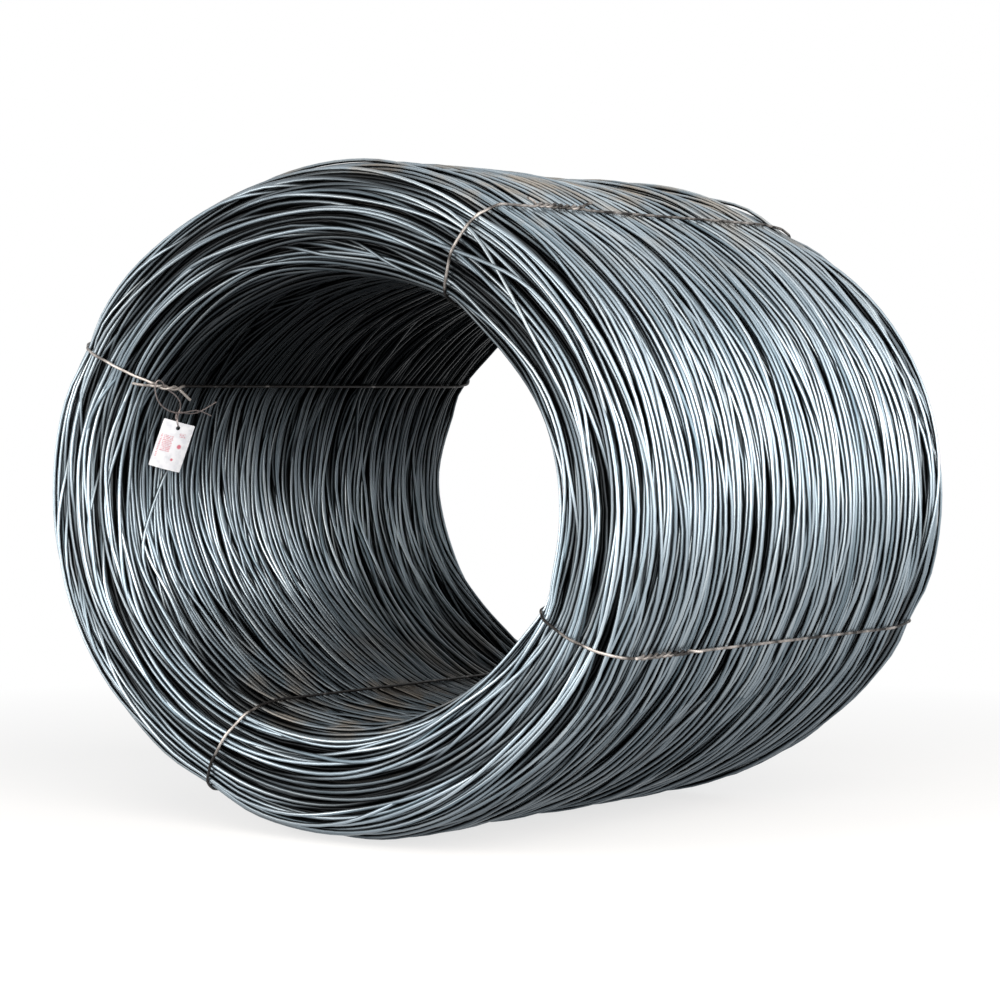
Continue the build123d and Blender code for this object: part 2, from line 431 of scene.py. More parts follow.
@dataclass
class Skin:
    """The coil's surface: the oval and the wall's section together, with a dent under each tie's angle."""

    oval: Oval
    wall: Wall
    dents: list[float]
    dent_depth: float = 5 * MM
    dent_width: float = 55 * MM
    flat_share: float = 0.35  # of a dent's depth, where the wall is flat and not a shoulder

    def dent(self, angle: np.ndarray, tilt: np.ndarray) -> np.ndarray:
        """Finds how far the ties pull the turns in.

        Args:
            angle: Normal angles round the oval.
            tilt: Normal angles of the section.

        Returns:
            Depths of the dent, deepest on the shoulders.
        """
        total = np.zeros(np.broadcast(angle, tilt).shape)
        shoulder = self.flat_share + (1 - self.flat_share) * np.abs(np.sin(tilt)) * np.abs(np.cos(tilt)) * 2
        for at in self.dents:
            away = wrapped(angle - at, math.tau)
            total = total + self.dent_depth * shoulder * np.exp(-(away * METRES_A_RADIAN / self.dent_width) ** 2)
        return total

    def point(self, angle: np.ndarray, walk: np.ndarray, height: np.ndarray) -> tuple[np.ndarray, np.ndarray]:
        """Finds points of the coil.

        Args:
            angle: Normal angles round the oval.
            walk: Distances walked round the wall's section.
            height: Heights above the middle of the laid depth.

        Returns:
            The points and the outward normals there, each with a last axis of 3.
        """
        across, up, radius = self.oval.arc(angle)
        tilt = self.wall.place(walk, height)[2]
        depth, along, tilt = self.wall.place(walk, height - self.dent(angle, tilt))
        reach = radius - depth
        point = np.stack([across + reach * np.cos(angle), along, up + reach * np.sin(angle)], -1)
        normal = np.stack([np.cos(tilt) * np.cos(angle), -np.sin(tilt), np.cos(tilt) * np.sin(angle)], -1)
        return point, normal


@dataclass
class Turn:
    """One ring of rod, modelled once and then copied to every turn.

    For each point it keeps its station and that station's normal angle, how far it stands proud of
    the rod's middle and beside it, and its number round the rod.
    """

    oval: Oval
    rod: float
    sides: int
    flank_steps: int
    crown_steps: int
    faces: np.ndarray = field(init=False)
    angle: np.ndarray = field(init=False)
    station: np.ndarray = field(init=False)
    proud: np.ndarray = field(init=False)
    beside: np.ndarray = field(init=False)
    side: np.ndarray = field(init=False)

    def __post_init__(self) -> None:
        """Models the ring by spinning a section round the four arcs, then reads it."""
        start = -self.oval.joint_angle
        across, up, radius = self.oval.arc_at(0.0)
        place = (across + radius * math.cos(start), 0.0, up + radius * math.sin(start))
        bpy.ops.object.select_all(action="DESELECT")
        bpy.ops.mesh.primitive_circle_add(vertices=self.sides, radius=self.rod / 2, location=place,
                                          rotation=(0, -start, 0))
        bpy.ops.object.transform_apply(location=True, rotation=True, scale=True)
        ring = bpy.context.object
        self.oval.spin(self.flank_steps, self.crown_steps, 0.2 * MM)
        self._read(ring)
        bpy.data.objects.remove(ring, do_unlink=True)

    @property
    def stations(self) -> np.ndarray:
        """Lists the sections.

        Returns:
            Their normal angles, in order from the first joint.
        """
        joint, quarter = self.oval.joint_angle, math.pi / 2
        ends = [(-joint, joint), (joint, math.pi - joint), (math.pi - joint, math.pi + joint),
                (math.pi + joint, math.tau - joint)]
        counts = [self.flank_steps, self.crown_steps] * 2
        return np.concatenate([np.linspace(a, b, n, endpoint=False) for (a, b), n in zip(ends, counts)])

    def _read(self, ring: bpy.types.Object) -> None:
        """Reads the modelled ring's faces, and where each of its points is on the section.

        Args:
            ring: The modelled ring.
        """
        mesh = ring.data
        points = np.array([v.co[:] for v in mesh.vertices])
        stations = self.stations
        across, up, radius = self.oval.arc(stations)
        middle = np.stack([across + radius * np.cos(stations), up + radius * np.sin(stations)], -1)
        away = np.linalg.norm(points[:, None, [0, 2]] - middle[None], axis=-1)
        self.station = away.argmin(axis=1)
        self.angle = stations[self.station]
        offset = points[:, [0, 2]] - middle[self.station]
        self.proud = offset[:, 0] * np.cos(self.angle) + offset[:, 1] * np.sin(self.angle)
        self.beside = points[:, 1]
        turn = np.arctan2(self.beside, self.proud) / math.tau
        self.side = np.round(turn * self.sides) % self.sides
        self.faces = np.array([p.vertices[:] for p in mesh.polygons])
        LOG.info("ring of rod: %d points, %d faces", len(points), len(self.faces))


@dataclass
class Pile:
    """Turns laid on each other: each one rests on those below it and bends only gently over them."""

    wall: Wall
    rod: float
    bed: float
    top: float
    spring: int = 15
    give: tuple = ((1, 0.8), (2, 0.45), (3, 0.15))  # stations away, and the share of a push that gets there
    walks: list[np.ndarray] = field(default_factory=list)
    heights: list[np.ndarray] = field(default_factory=list)

    def apart(self, walk: np.ndarray) -> np.ndarray:
        """Measures how far every turn is from a new one, along the section."""
        return wrapped(np.array(self.walks) - walk, self.wall.girth)

    def settle(self, walk: np.ndarray) -> np.ndarray:
        """Lays a turn down without cutting into those below it.

        Args:
            walk: Its place round the section at each station.

        Returns:
            Its height at each station.
        """
        gap = self.apart(walk)
        over = np.array(self.heights) + np.sqrt(np.clip(self.rod ** 2 - gap ** 2, 0, None))
        rest = np.maximum(np.where(np.abs(gap) < self.rod, over, self.bed).max(axis=0), self.bed)
        height = rest
        for _ in range(self.spring):
            height = np.maximum(rest, smoothed(height))
        return height

    def lay(self, walk: np.ndarray, height: np.ndarray) -> None:
        """Adds a turn to the pile."""
        self.walks.append(walk)
        self.heights.append(np.minimum(height, self.top))

    def lay_over(self, walk: np.ndarray, height: np.ndarray) -> None:
        """Adds a turn on top, which pushes down those that it crosses.

        Args:
            walk: Its place round the section at each station.
            height: Its height at each station.
        """
        heights = np.array(self.heights)
        gap = self.apart(walk)
        room = height - np.sqrt(np.clip(self.rod ** 2 - gap ** 2, 0, None))
        pushed = np.where(np.abs(gap) < self.rod, np.clip(heights - room, 0, None), 0)
        spread = pushed
        for away, share in self.give:
            near = np.maximum(np.roll(pushed, away, axis=1), np.roll(pushed, -away, axis=1))
            spread = np.maximum(spread, near * share)
        self.heights = list(heights - spread)
        self.lay(walk, height)

    def flatten(self, depth: np.ndarray) -> None:
        """Pushes the highest turns down to a depth below the top, for each turn and station."""
        self.heights = list(np.minimum(np.array(self.heights), self.top - depth))

    def soften(self) -> None:
        """Takes the sharp steps out of the turns, as stiff rod does."""
        self.heights = list(smoothed(np.array(self.heights)))


@dataclass
class RodCoil:
    """The coil itself: a heart painted near black as shade, and the turns that are seen, laid on it.

    A stray is a turn that crosses the others, as rows of the angle in degrees and the place round the
    section in mm. A gap has its angle, place, half length in degrees and half width in mm. The tables
    of painted light give the share of painted light and of wear at a place of the surface, from 0, full
    painted shade, to 1.
    """

    skin: Skin
    finish: bpy.types.Material
    ties: list["TieWire"]
    rod: float = 7 * MM
    bed_pitch: float = 14 * MM
    seen_depth: float = 11 * MM
    tries: int = 8
    misses: int = 40
    proud_share: float = 0.38
    common_wander: float = 22 * MM
    region_wander: float = 26 * MM
    regions: int = 9
    looseness: float = 13 * MM
    tightening: float = 0.55
    wave_spread: float = 0.6
    wave_fall: float = 1.25
    turn_length: float = 3.4
    pattern_width: float = 0.02
    pattern_spread: float = 50.0
    heart_sides: int = 48
    heart_depth: float = 4.2 * MM
    strays: tuple = (((128, 990), (138, 980), (151, 969), (162.75, 954), (174, 937), (186, 926)),
                     ((150, 1160), (163, 1140), (171, 1117), (177, 1103), (183, 1085), (189, 1065), (197, 1045)),
                     ((268, 995), (279, 975), (289, 981), (302, 985), (318, 972)),
                     ((284, 40), (291, 30), (300, 12), (308, 10), (318, 22)),
                     ((-10, 8), (4, -12), (16, -26), (28, -28), (42, -14), (54, 4)),
                     ((33, 962), (41, 954), (45, 945), (50, 930), (55, 914), (60, 899), (66, 884)),
                     ((36, 905), (41, 898), (48, 900), (51, 905), (55, 917), (60, 932), (66, 950)))
    gaps: tuple = ((22, -12, 17, 9), (300, 26, 9, 7))
    # Painted shade tables, each of a place and its share of light from 0 to 1: by the normal's height outside and in
    # the bore, by place along the bore, and by height round the oval on the ends.
    painted_light_outside: tuple = ((-0.9, 0.3), (-0.45, 0.6), (0.1, 1.0), (0.5, 0.95), (0.85, 0.75), (1.0, 0.65))
    painted_light_bore: tuple = ((-0.65, 0.03), (0.3, 1.0), (0.5, 1.0), (0.9, 0.36))
    painted_light_along_bore: tuple = ((-0.2, 1.0), (0.4, 0.35))
    painted_light_end: tuple = ((-1.0, 0.72), (-0.5, 1.0), (0.2, 1.0), (0.8, 0.43))
    pile: Pile = field(init=False)

    def drift(self, rng: np.random.Generator, stations: np.ndarray, first: int, last: int,
              size: float) -> np.ndarray:
        """Makes a smooth closed wander round the oval.

        Args:
            rng: The source of chance.
            stations: Normal angles.
            first: The slowest wave, in waves a turn.
            last: The quickest wave.
            size: The slowest wave's size, in metres.

        Returns:
            The wander at each station.
        """
        total = np.zeros(stations.shape)
        for wave in range(first, last + 1):
            amount = size * rng.normal(0, self.wave_spread) / (wave / first) ** self.wave_fall
            total = total + amount * np.sin(wave * stations + rng.uniform(0, math.tau))
        return total

    def build_pile(self, stations: np.ndarray) -> None:
        """Lays all turns: an even bed, then loose turns, then the ties' dents, the gaps and the strays.

        Args:
            stations: The normal angles at which the turns are settled.
        """
        rng = np.random.default_rng(SEED)
        wall = self.skin.wall
        self.pile = Pile(wall, self.rod, -wall.lay_depth, wall.lay_depth - self.rod / 2)
        common = self.drift(rng, stations, 1, 4, self.common_wander)
        count = int(wall.girth / self.bed_pitch)
        for number in range(count):
            self.pile.lay(number * wall.girth / count + common, np.full(stations.shape, self.pile.bed))
        self.lay_loose(rng, stations)
        LOG.info("turns laid: %d on a bed of %d", len(self.pile.walks) - count, count)
        walks = np.array(self.pile.walks)
        for tie in self.ties:
            away = wrapped(stations - tie.angle_at(wall, walks), math.tau)
            self.pile.flatten(tie.sink * np.exp(-(away * METRES_A_RADIAN / tie.reach) ** 2))
        for angle, at, long, wide in self.gaps:
            along = wrapped(stations - math.radians(angle), math.tau) / math.radians(long)
            across = wrapped(walks - at * MM, wall.girth) / (wide * MM)
            self.pile.flatten(4 * self.rod * np.exp(-along ** 4 - across ** 4))
        for path in self.strays:
            self.pile.lay_over(*self.stray(path, stations))
        self.pile.soften()

    def lay_loose(self, rng: np.random.Generator, stations: np.ndarray) -> None:
        """Lays the loose turns, each in the lowest of a few places tried, until there is no more room.

        Args:
            rng: The source of chance.
            stations: The normal angles at which the turns are settled.
        """
        girth = self.skin.wall.girth
        wanders = [self.drift(rng, stations, 1, 3, self.region_wander) for _ in range(self.regions)]
        missed = 0
        while missed < self.misses:
            loose = (1 - self.tightening * missed / self.misses) * self.looseness
            best = None
            for _ in range(self.tries):
                at = rng.uniform(0, girth)
                mix = at / girth * self.regions
                near, share = int(mix) % self.regions, mix % 1
                wander = wanders[near] * (1 - share) + wanders[(near + 1) % self.regions] * share
                walk = at + wander + self.drift(rng, stations, 2, 9, loose)
                height = self.pile.settle(walk)
                if best is None or height.mean() < best[1].mean():
                    best = (walk, height)
            if np.mean(best[1] > self.pile.top) > self.proud_share:
                missed += 1
            else:
                self.pile.lay_over(best[0], np.minimum(best[1], self.pile.top))

    def stray(self, path: tuple[tuple[float, float], ...],
              stations: np.ndarray) -> tuple[np.ndarray, np.ndarray]:
        """Finds the line of a turn that crosses the others, and dives under them where it isn't seen.

        Args:
            path: Angles in degrees and places round the section in mm, where the turn is seen.
            stations: The normal angles.

        Returns:
            Its place round the section and its height at each station.
        """
        dive, depth, rounds = 0.12, 2.5 * self.rod, 6
        angles, places = np.radians([a for a, _ in path]), np.array([p for _, p in path]) * MM
        at = (stations - angles[0]) % math.tau
        walk = np.interp(at, angles - angles[0], places, period=math.tau)
        seen = np.clip(np.minimum(at, angles[-1] - angles[0] - at) / dive + 0.5, 0, 1)
        height = self.pile.top - (1 - seen) * depth
        for _ in range(rounds):
            walk, height = smoothed(walk), smoothed(height)
        return walk, height

    def mesh_of(self, name: str, turn: Turn, chosen: list[int], step: int) -> bpy.types.Object:
        """Copies the modelled ring to some of the turns.

        Args:
            name: The piece's name.
            turn: The modelled ring.
            chosen: Numbers of the turns.
            step: How many of the pile's stations lie between two of the ring's.

        Returns:
            The piece.
        """
        walks = np.array(self.pile.walks)[chosen][:, ::step][:, turn.station]
        heights = np.array(self.pile.heights)[chosen][:, ::step][:, turn.station]
        centre, normal = self.skin.point(turn.angle[None], walks, heights)
        radial = normal[..., 0] * np.cos(turn.angle) + normal[..., 2] * np.sin(turn.angle)
        beside = np.stack([-normal[..., 1] * np.cos(turn.angle),
                           np.hypot(normal[..., 0], normal[..., 2]) * np.sign(radial),
                           -normal[..., 1] * np.sin(turn.angle)], -1)
        points = centre + turn.proud[None, :, None] * normal + turn.beside[None, :, None] * beside
        count, size = len(chosen), len(turn.station)
        faces = (turn.faces[None] + (np.arange(count) * size)[:, None, None]).reshape(-1, 4)
        mesh = quad_mesh(name, points.reshape(-1, 3), faces)
        self.lay_pattern(mesh, turn, count)
        # crest, deep and reached carry the painted highlight and painted shade of the rod's colour; up sets where
        # dust lies.
        write_attributes(mesh, crest=np.broadcast_to(turn.proud * 2 / self.rod, walks.shape),
                         deep=(self.pile.top - heights) / (self.pile.top - self.pile.bed),
                         up=normal[..., 2], reached=self.reached(turn, centre, normal, radial))
        mesh.materials.append(self.finish)
        piece = bpy.data.objects.new(name, mesh)
        bpy.context.collection.objects.link(piece)
        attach(piece, "root")
        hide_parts("rod_coil")
        LOG.info("%s: %d turns, %d triangles", name, count, 2 * len(faces))
        return piece

    def lay_pattern(self, mesh: bpy.types.Mesh, turn: Turn, count: int) -> None:
        """Writes the UV map that runs along the rod, with another stretch of the pattern for each turn.

        Args:
            mesh: The mesh of the turns.
            turn: The modelled ring.
            count: How many turns the mesh has.
        """
        rng = np.random.default_rng(count)
        places = turn.station.max() + 1
        along, side = turn.station[turn.faces].astype(float), turn.side[turn.faces]
        along = np.where((along == 0) & (along.max(axis=1) > places / 2)[:, None], places, along) / places
        side = np.where((side == 0) & (side.max(axis=1) > turn.sides / 2)[:, None], turn.sides, side) / turn.sides
        start = rng.uniform(0, self.pattern_spread, count)[:, None, None]
        uv = np.stack([np.broadcast_to(along * self.turn_length, (count, *along.shape)),
                       side * self.pattern_width + start], -1)
        mesh.uv_layers.new(name="rod").data.foreach_set("uv", uv.astype(np.float32).ravel())

    def reached(self, turn: Turn, centre: np.ndarray, normal: np.ndarray, radial: np.ndarray) -> np.ndarray:
        """Finds the share of painted light, with wear, at each place: below 1 is painted shade.

        Args:
            turn: The modelled ring.
            centre: The middle of the rod at each place.
            normal: The coil's outward normal there.
            radial: The normal's share away from the bore, from -1 in the bore to 1 on the outside.

        Returns:
            Shares from 0, full painted shade, to 1, no painted shade.
        """
        inner = 0.5 - 0.5 * radial
        # Painted shade: darker on the underside and a little on the top outside, darkest at the bore's top, darker on
        # its floor and towards its rear, and darker at the top and bottom of the ends.
        outside, bore, along, end = (
            np.interp(at, *np.array(table).T)
            for at, table in ((normal[..., 2], self.painted_light_outside), (normal[..., 2], self.painted_light_bore),
                              (centre[..., 1], self.painted_light_along_bore), (np.sin(turn.angle), self.painted_light_end)))
        facing = normal[..., 1] ** 2
        return (outside * (1 - inner) + bore * along * inner) * (1 - facing) + end * facing

    def build(self) -> np.ndarray:
        """Builds the heart and the turns.

        Returns:
            The angles at which the turns were settled.
        """
        oval = self.skin.oval
        fine = Turn(oval, self.rod, 6, 20, 36)
        coarse = Turn(oval, self.rod, 5, 10, 18)
        self.build_pile(fine.stations)
        starts = np.array([walk.mean() for walk in self.pile.walks]) % self.skin.wall.girth
        seen = np.array([height.max() for height in self.pile.heights]) > self.pile.top - self.seen_depth
        for part in Part:
            low, high = self.skin.wall.walk_at(part)
            inside = (starts >= low) & (starts < high)
            self.mesh_of("deep_turns_" + part.value, coarse, list(np.flatnonzero(inside & ~seen)), 2)
            self.mesh_of("turns_" + part.value, fine, list(np.flatnonzero(inside & seen)), 1)
        self.heart()
        return fine.stations

    def heart(self) -> None:
        """Models the heart under the turns, near black as painted shade, by spinning the wall's section round the
        four arcs.
        """
        oval, wall = self.skin.oval, self.skin.wall
        walk = np.linspace(0, wall.girth, self.heart_sides, endpoint=False)
        depth, along, _ = wall.place(walk, np.full(walk.shape, -wall.lay_depth - self.heart_depth))
        start = -oval.joint_angle
        across, up, radius = oval.arc_at(0.0)
        points = [(across + r * math.cos(start), y, up + r * math.sin(start))
                  for r, y in zip(radius - depth, along)]
        mesh = bpy.data.meshes.new("heart_turns")
        mesh.from_pydata(points, [(i, (i + 1) % len(points)) for i in range(len(points))], [])
        piece = bpy.data.objects.new("heart_turns", mesh)
        bpy.context.collection.objects.link(piece)
        select_only(piece)
        oval.spin(15, 25, 0.5 * MM)
        # Near-black colour, as painted shade for the turns deep in the wall.
        mesh.materials.append(DullSteel("mill_scale_painted_shade", "08090a", "16191c").make())
        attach(piece, "root")
        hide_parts("rod_coil")
        LOG.info("heart: %d faces", len(mesh.polygons))


@dataclass
class TieWire:
    """One tie round the wall, its two ends wound round each other in a knot.

    The tie lies in a plane that leans a little, so it crosses the bore's wall and the outside at
    two different angles, in degrees. Its places are walks round the wall's section. Its table of rows
    gives, at a distance in mm from the knot's middle, how much clean metal shows together with painted
    light: lighter near the knot and over the front end, where the wire faces the lamps, and painted
    shade keeping it dark elsewhere, most of all in the bore.
    """

    node: str
    bore_angle: float
    outer_angle: float
    knot: float
    finish: bpy.types.Material
    bare_and_painted_light: tuple[tuple[float, float], ...]
    wire: float = 5 * MM
    sides: int = 10
    knot_lay: float = 36 * MM
    half_turns: int = 7
    stub: float = 24 * MM
    rise: float = 9 * MM
    hook: float = 0.0
    strand: float = 0.53  # of the wire's thickness, from the knot's middle to each of its strands
    free_points: int = 260
    samples: int = 440
    pull: int = 700
    sink: float = 6 * MM
    reach: float = 75 * MM

    def angle_at(self, wall: Wall, walk: np.ndarray) -> np.ndarray:
        """Finds the angle, in radians, at which the leaning tie crosses each place of the wall's section."""
        depth = wall.place(walk, np.zeros(np.shape(walk)))[0]
        share = np.clip(depth / wall.thickness, 0, 1)
        return np.radians(self.outer_angle + (self.bore_angle - self.outer_angle) * share)

    def lie(self, coil: RodCoil, stations: np.ndarray, walk: np.ndarray) -> np.ndarray:
        """Finds how the pulled wire lies on the turns under it.

        Args:
            coil: The laid coil.
            stations: The angles at which the pile was settled.
            walk: Places round the section.

        Returns:
            Heights of the wire's centre.
        """
        wall = coil.skin.wall
        angle = self.angle_at(wall, walk)
        near = np.abs(wrapped(stations[:, None] - angle[None], math.tau)).argmin(axis=0)
        tops = np.array(coil.pile.heights)[:, near]
        gap = wrapped(np.array(coil.pile.walks)[:, near] - walk[None], wall.girth)
        touch = (coil.rod + self.wire) / 2
        over = tops + np.sqrt(np.clip(touch ** 2 - gap ** 2, 0, None))
        rest = np.where(np.abs(gap) < touch, over, coil.pile.bed).max(axis=0)
        step = wall.girth / len(walk)
        tilt = np.append(wall.place(walk, rest)[2], math.tau)
        bend = np.clip(np.diff(tilt), 0, None) / step
        height = rest
        for _ in range(self.pull):
            taut = (bend + height * bend ** 2) * step ** 2 / 4  # a taut wire cuts across a rounded shoulder
            height = np.maximum(rest, smoothed(height) - taut)
        return height

    def route(self, girth: float, walk: np.ndarray, lie: np.ndarray) -> np.ndarray:
        """Lists the wire's points, from one cut end through the knot and round the wall to the other.

        Args:
            girth: The length of the whole walk.
            walk: Places round the section.
            lie: The height at which the wire lies there.

        Returns:
            Distances walked, distances to one side and heights.
        """
        lay = self.wire * self.strand
        half = self.knot_lay * self.half_turns / 4
        last = self.knot + girth
        knot = np.linspace(-half, half, 8 * self.half_turns + 1)
        turn = (knot + half) / (2 * half) * math.pi * self.half_turns

        def row(at: float, side: float, lift: float) -> tuple[float, float, float]:
            """Gives a point of the route, lifted off the place where the wire would lie."""
            return at, side, float(np.interp(at % girth, walk, lie)) + lift

        # Each cut end stands off the knot: its tip, and a point nearer the knot.
        tip, near = (self.stub, self.rise + lay), (self.stub * 0.4, self.rise * 0.6 + lay)
        rows = [row(self.knot - half - tip[0], lay * 1.6, tip[1]),
                row(self.knot - half - near[0], lay * 1.4, near[1])]
        rows += [row(self.knot + k, lay * math.cos(t), lay + lay * math.sin(t)) for k, t in zip(knot, turn)]
        rows += [row(self.knot + k, -lay, 0.0) for k in np.linspace(half, girth - half, self.free_points)[1:-1]]
        rows += [row(last + k, -lay * math.cos(t), lay - lay * math.sin(t)) for k, t in zip(knot, turn)]
        rows += [row(last + half + near[0], lay * 1.4 + self.hook * 0.35, near[1]),
                 row(last + half + tip[0], lay * 1.6 + self.hook, tip[1])]
        return np.array(rows).T

    def build(self, coil: RodCoil, stations: np.ndarray) -> bpy.types.Object:
        """Builds the tie as one wire along its route.

        Args:
            coil: The laid coil.
            stations: The angles at which the pile was settled.

        Returns:
            The piece.
        """
        wall = coil.skin.wall
        walk = np.linspace(0, wall.girth, self.samples, endpoint=False)
        at, side, height = self.route(wall.girth, walk, self.lie(coil, stations, walk))
        angle = self.angle_at(wall, at)
        points, _ = coil.skin.point(angle, at, height)
        sideways = np.stack([-np.sin(angle), np.zeros(angle.shape), np.cos(angle)], -1)
        piece = wire_along(self.node + "_wire", points + side[:, None] * sideways, self.wire, self.sides)
        rings = len(piece.data.vertices) // self.sides
        along = np.interp(np.linspace(0, len(at) - 1, rings), np.arange(len(at)), at - self.knot)
        # Clean metal and painted light along the tie, by distance from the knot.
        walked, bareness_and_painted_light = np.array(self.bare_and_painted_light).T
        write_attributes(piece.data, rubbed=np.repeat(np.interp(along, walked * MM, bareness_and_painted_light), self.sides))
        piece.data.materials.append(self.finish)
        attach(piece, "root")
        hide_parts(self.node)
        LOG.info("%s: %d faces", piece.name, len(piece.data.polygons))
        return piece


def wire_along(name: str, points: np.ndarray, thickness: float, sides: int) -> bpy.types.Object:
    """Makes a round wire along a smooth line and turns it into a mesh.

    Args:
        name: The piece's name.
        points: The line's control points.
        thickness: The wire's diameter.
        sides: Faces round the wire.

    Returns:
        The mesh piece, at the origin.
    """
    curve = bpy.data.curves.new(name, "CURVE")
    curve.dimensions = "3D"
    curve.bevel_depth = thickness / 2
    curve.bevel_resolution = max(0, sides // 2 - 2)
    curve.use_fill_caps = True
    curve.resolution_u = 2
    spline = curve.splines.new("NURBS")
    spline.points.add(len(points) - 1)
    for target, point in zip(spline.points, points):
        target.co = (*point, 1.0)
    spline.order_u = 3
    spline.use_endpoint_u = True
    piece = bpy.data.objects.new(name, curve)
    bpy.context.collection.objects.link(piece)
    select_only(piece)
    bpy.ops.object.convert(target="MESH")
    bpy.ops.object.shade_smooth()
    return bpy.context.object


@dataclass(frozen=True)
class CoatedCard:
    """White card with a coated face.

    It has a soft sheen, grey smudges from handling, and a faint red print of broken rules and two
    spots that say nothing.
    """

    card: str = "d6dae2"
    smudge: str = "b9bfca"
    ink: str = "b4284a"
    width: float = 60.0
    height: float = 90.0
    line_gap: float = 3.2  # rules on a real tag are about 2 mm apart, too fine to show, so they are coarser
    line_share: float = 0.6
    roughness: float = 0.42
    blocks: tuple = ((19, 47, 9, 15), (6, 40, 1.6, 22), (43, 67, 6, 4))
    spots: tuple = ((43, 46, 5.0), (37, 20, 3.2))

    def make(self) -> bpy.types.Material:
        """Builds the material.

        Returns:
            The material. It reads the card's own UV map, which runs from 0 to 1 across and up.
        """
        material, tree = new_material("coated_white_card")
        flat = add_node(tree, "UVMap", uv_map="card").outputs["UV"]
        place = add_node(tree, "Mapping", {"Vector": flat, "Scale": (self.width, self.height, 1.0)}).outputs[0]
        parts = add_node(tree, "SeparateXYZ", {0: place}).outputs
        blotch = add_node(tree, "TexNoise", {"Vector": place, "Scale": 0.07, "Detail": 5.0}).outputs[0]
        speck = add_node(tree, "TexNoise", {"Vector": place, "Scale": 0.45, "Detail": 2.0}).outputs[0]
        dirty = add_node(tree, "MapRange", {"Value": blotch, "From Min": 0.45, "From Max": 0.75}).outputs[0]
        base = add_node(tree, "Mix", {0: dirty, 6: srgb(self.card), 7: srgb(self.smudge)},
                        data_type="RGBA").outputs[2]

        # Broken rules in three blocks, each with its middle, half width and half height in mm.
        rule = add_node(tree, "Math", {0: parts["Y"], 1: self.line_gap}, operation="MODULO").outputs[0]
        rule = add_node(tree, "Math", {0: rule, 1: self.line_gap * self.line_share}, operation="LESS_THAN").outputs[0]
        broken = add_node(tree, "Math", {0: speck, 1: 0.47}, operation="GREATER_THAN").outputs[0]
        rule = add_node(tree, "Math", {0: rule, 1: broken}, operation="MULTIPLY").outputs[0]
        marks = 0.0
        for across, up, half_wide, half_high in self.blocks:
            block = rule
            for axis, at, half in (("X", across, half_wide), ("Y", up, half_high)):
                within = add_node(tree, "Math", {0: parts[axis], 1: at, 2: half}, operation="COMPARE").outputs[0]
                block = add_node(tree, "Math", {0: block, 1: within}, operation="MULTIPLY").outputs[0]
            marks = add_node(tree, "Math", {0: marks, 1: block}, operation="MAXIMUM").outputs[0]

        # Round spots, each with its middle and radius in mm, then ink that is fainter in places.
        for across, up, radius in self.spots:
            away = add_node(tree, "VectorMath", {0: place, 1: (across, up, 0)}, operation="DISTANCE").outputs[1]
            spot = add_node(tree, "MapRange", {"Value": away, "From Min": radius,
                                               "From Max": radius * 0.6}).outputs[0]
            marks = add_node(tree, "Math", {0: marks, 1: spot}, operation="MAXIMUM").outputs[0]
        faint = add_node(tree, "MapRange", {"Value": blotch, "From Min": 0.3, "From Max": 0.65, "To Min": 1.0,
                                            "To Max": 0.65}).outputs[0]
        inked = add_node(tree, "Math", {0: marks, 1: faint}, operation="MULTIPLY").outputs[0]
        colour = add_node(tree, "Mix", {0: inked, 6: base, 7: srgb(self.ink)}, data_type="RGBA").outputs[2]
        bump = add_node(tree, "Bump", {"Height": speck, "Strength": 0.08, "Distance": 0.2 * MM}).outputs[0]
        shader = add_node(tree, "BsdfPrincipled", {"Base Color": colour, "Roughness": self.roughness, "Normal": bump})
        add_node(tree, "OutputMaterial", {"Surface": shader.outputs[0]})
        return material


